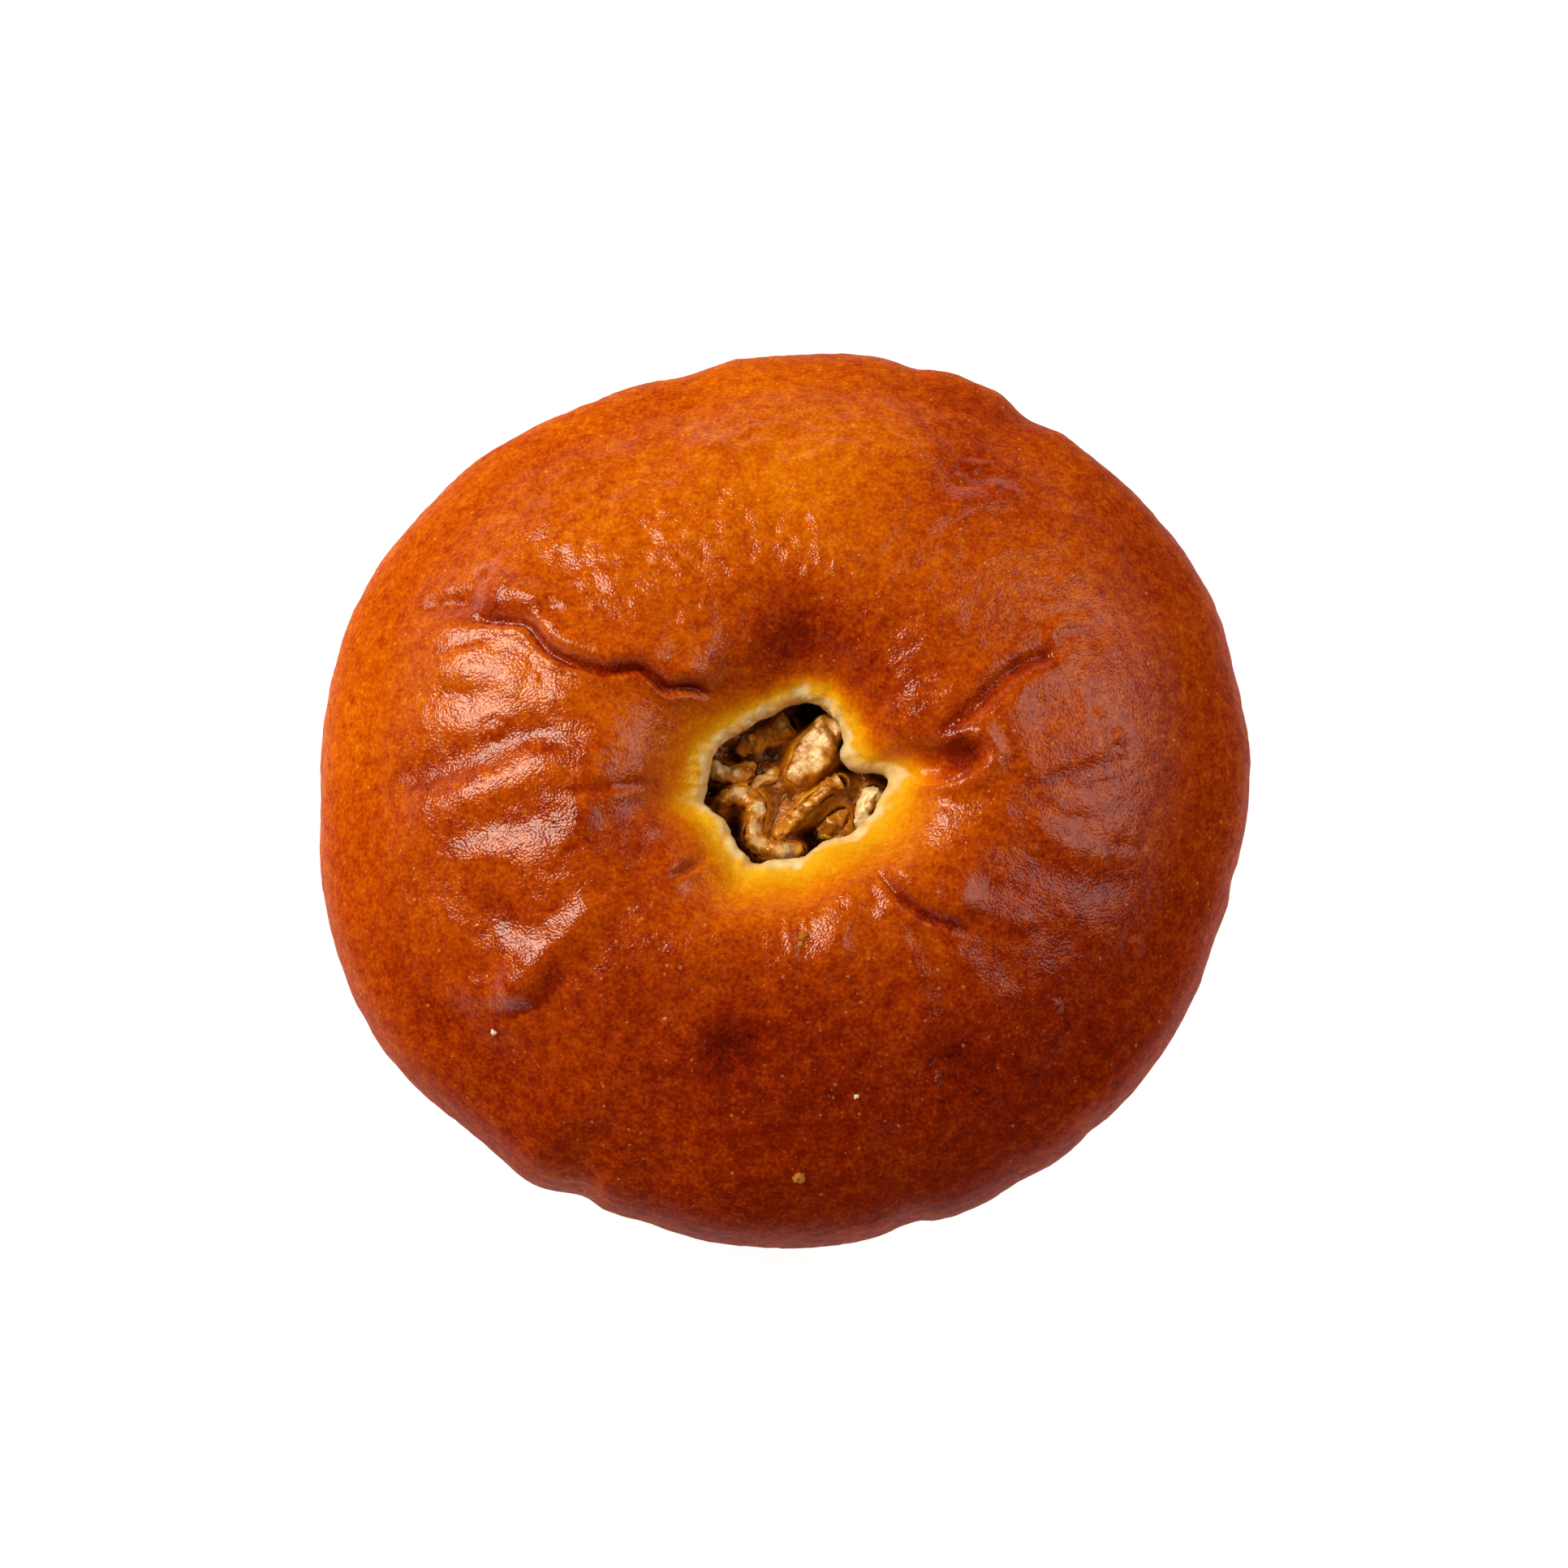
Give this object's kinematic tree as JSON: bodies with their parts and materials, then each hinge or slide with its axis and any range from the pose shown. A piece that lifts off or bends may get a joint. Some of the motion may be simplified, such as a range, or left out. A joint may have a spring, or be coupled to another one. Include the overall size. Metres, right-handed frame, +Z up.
{
  "type": "bean paste bun",
  "caption": "Round glazed bun with a navel in its crown that opens on bean paste and pressed-in walnut pieces; stands on its flat baked base.",
  "frame": {"origin": "middle of the bun's outline, on the surface that it rests on", "axes": "+Z up out of the navel, +X along the bun's longest width, +Y from the bun's front to its back"},
  "size_m": [0.1002, 0.0964, 0.034],
  "materials": {
    "crust": null,
    "bean_paste": null,
    "walnut": "walnut kernel, tan skin and cream broken faces, thinly coated with syrup"
  },
  "bodies": {
    "root": {"dough_bun": "crust", "bean_paste": "bean_paste", "walnut_chunk": "walnut", "walnut_rear_lobe": "walnut", "walnut_left_lobe": "walnut", "walnut_curl": "walnut", "walnut_sliver": "walnut", "walnut_right_flake": "walnut", "walnut_front_lobe": "walnut", "walnut_middle_lobe": "walnut"}
  },
  "joints": []
}
